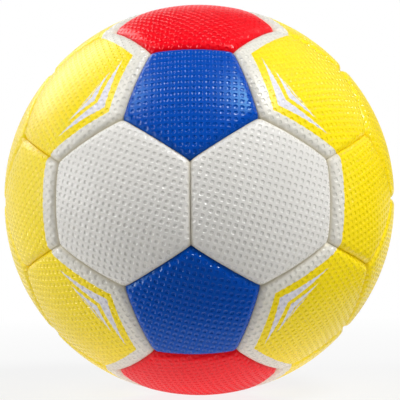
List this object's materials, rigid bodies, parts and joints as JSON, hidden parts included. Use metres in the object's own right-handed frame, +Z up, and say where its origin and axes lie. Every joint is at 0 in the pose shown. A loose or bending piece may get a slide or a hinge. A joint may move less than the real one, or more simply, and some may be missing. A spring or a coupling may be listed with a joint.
{
  "type": "handball",
  "caption": "Handball: a cover of crowned hexagon and pentagon panels with rolled edges, over a cloth carcass and an air bladder with a needle valve.",
  "frame": {"origin": "centre of the ball", "axes": "+Z up as pictured, the pictured side towards -Y, +X to the right in the picture"},
  "size_m": [0.1744, 0.1744, 0.1744],
  "materials": {
    "cover_white": "coated synthetic leather, satin",
    "cover_blue": "coated synthetic leather, satin",
    "cover_red": "coated synthetic leather, satin",
    "cover_yellow": "coated synthetic leather, satin",
    "cover_striped": "coated synthetic leather, satin, printed with plain white stripes",
    "cloth": "woven polyester set in latex",
    "bladder_rubber": "moulded butyl",
    "valve_rubber": "moulded rubber, matt",
    "core_rubber": "soft self-closing rubber"
  },
  "bodies": {
    "root": {"bladder": "bladder_rubber", "carcass": "cloth", "panel_blue_lower_back": "cover_blue", "panel_blue_lower_front": "cover_blue", "panel_blue_upper_back": "cover_blue", "panel_blue_upper_front": "cover_blue", "panel_cheek_back_left": "cover_yellow", "panel_cheek_back_right": "cover_yellow", "panel_cheek_front_left": "cover_yellow", "panel_cheek_front_right": "cover_yellow", "panel_crown_lower_left": "cover_yellow", "panel_crown_lower_right": "cover_yellow", "panel_crown_upper_left": "cover_yellow", "panel_crown_upper_right": "cover_yellow", "panel_red_lower_back": "cover_red", "panel_red_lower_front": "cover_red", "panel_red_upper_back": "cover_red", "panel_red_upper_front": "cover_red", "panel_side_lower_left": "cover_yellow", "panel_side_lower_right": "cover_yellow", "panel_side_upper_left": "cover_yellow", "panel_side_upper_right": "cover_yellow", "panel_striped_lower_back_left": "cover_striped", "panel_striped_lower_back_right": "cover_striped", "panel_striped_lower_front_left": "cover_striped", "panel_striped_lower_front_right": "cover_striped", "panel_striped_upper_back_left": "cover_striped", "panel_striped_upper_back_right": "cover_striped", "panel_striped_upper_front_left": "cover_striped", "panel_striped_upper_front_right": "cover_striped", "panel_white_back_left": "cover_white", "panel_white_back_right": "cover_white", "panel_white_front_left": "cover_white", "panel_white_front_right": "cover_white", "valve_body": "valve_rubber", "valve_core": "core_rubber"}
  },
  "joints": []
}
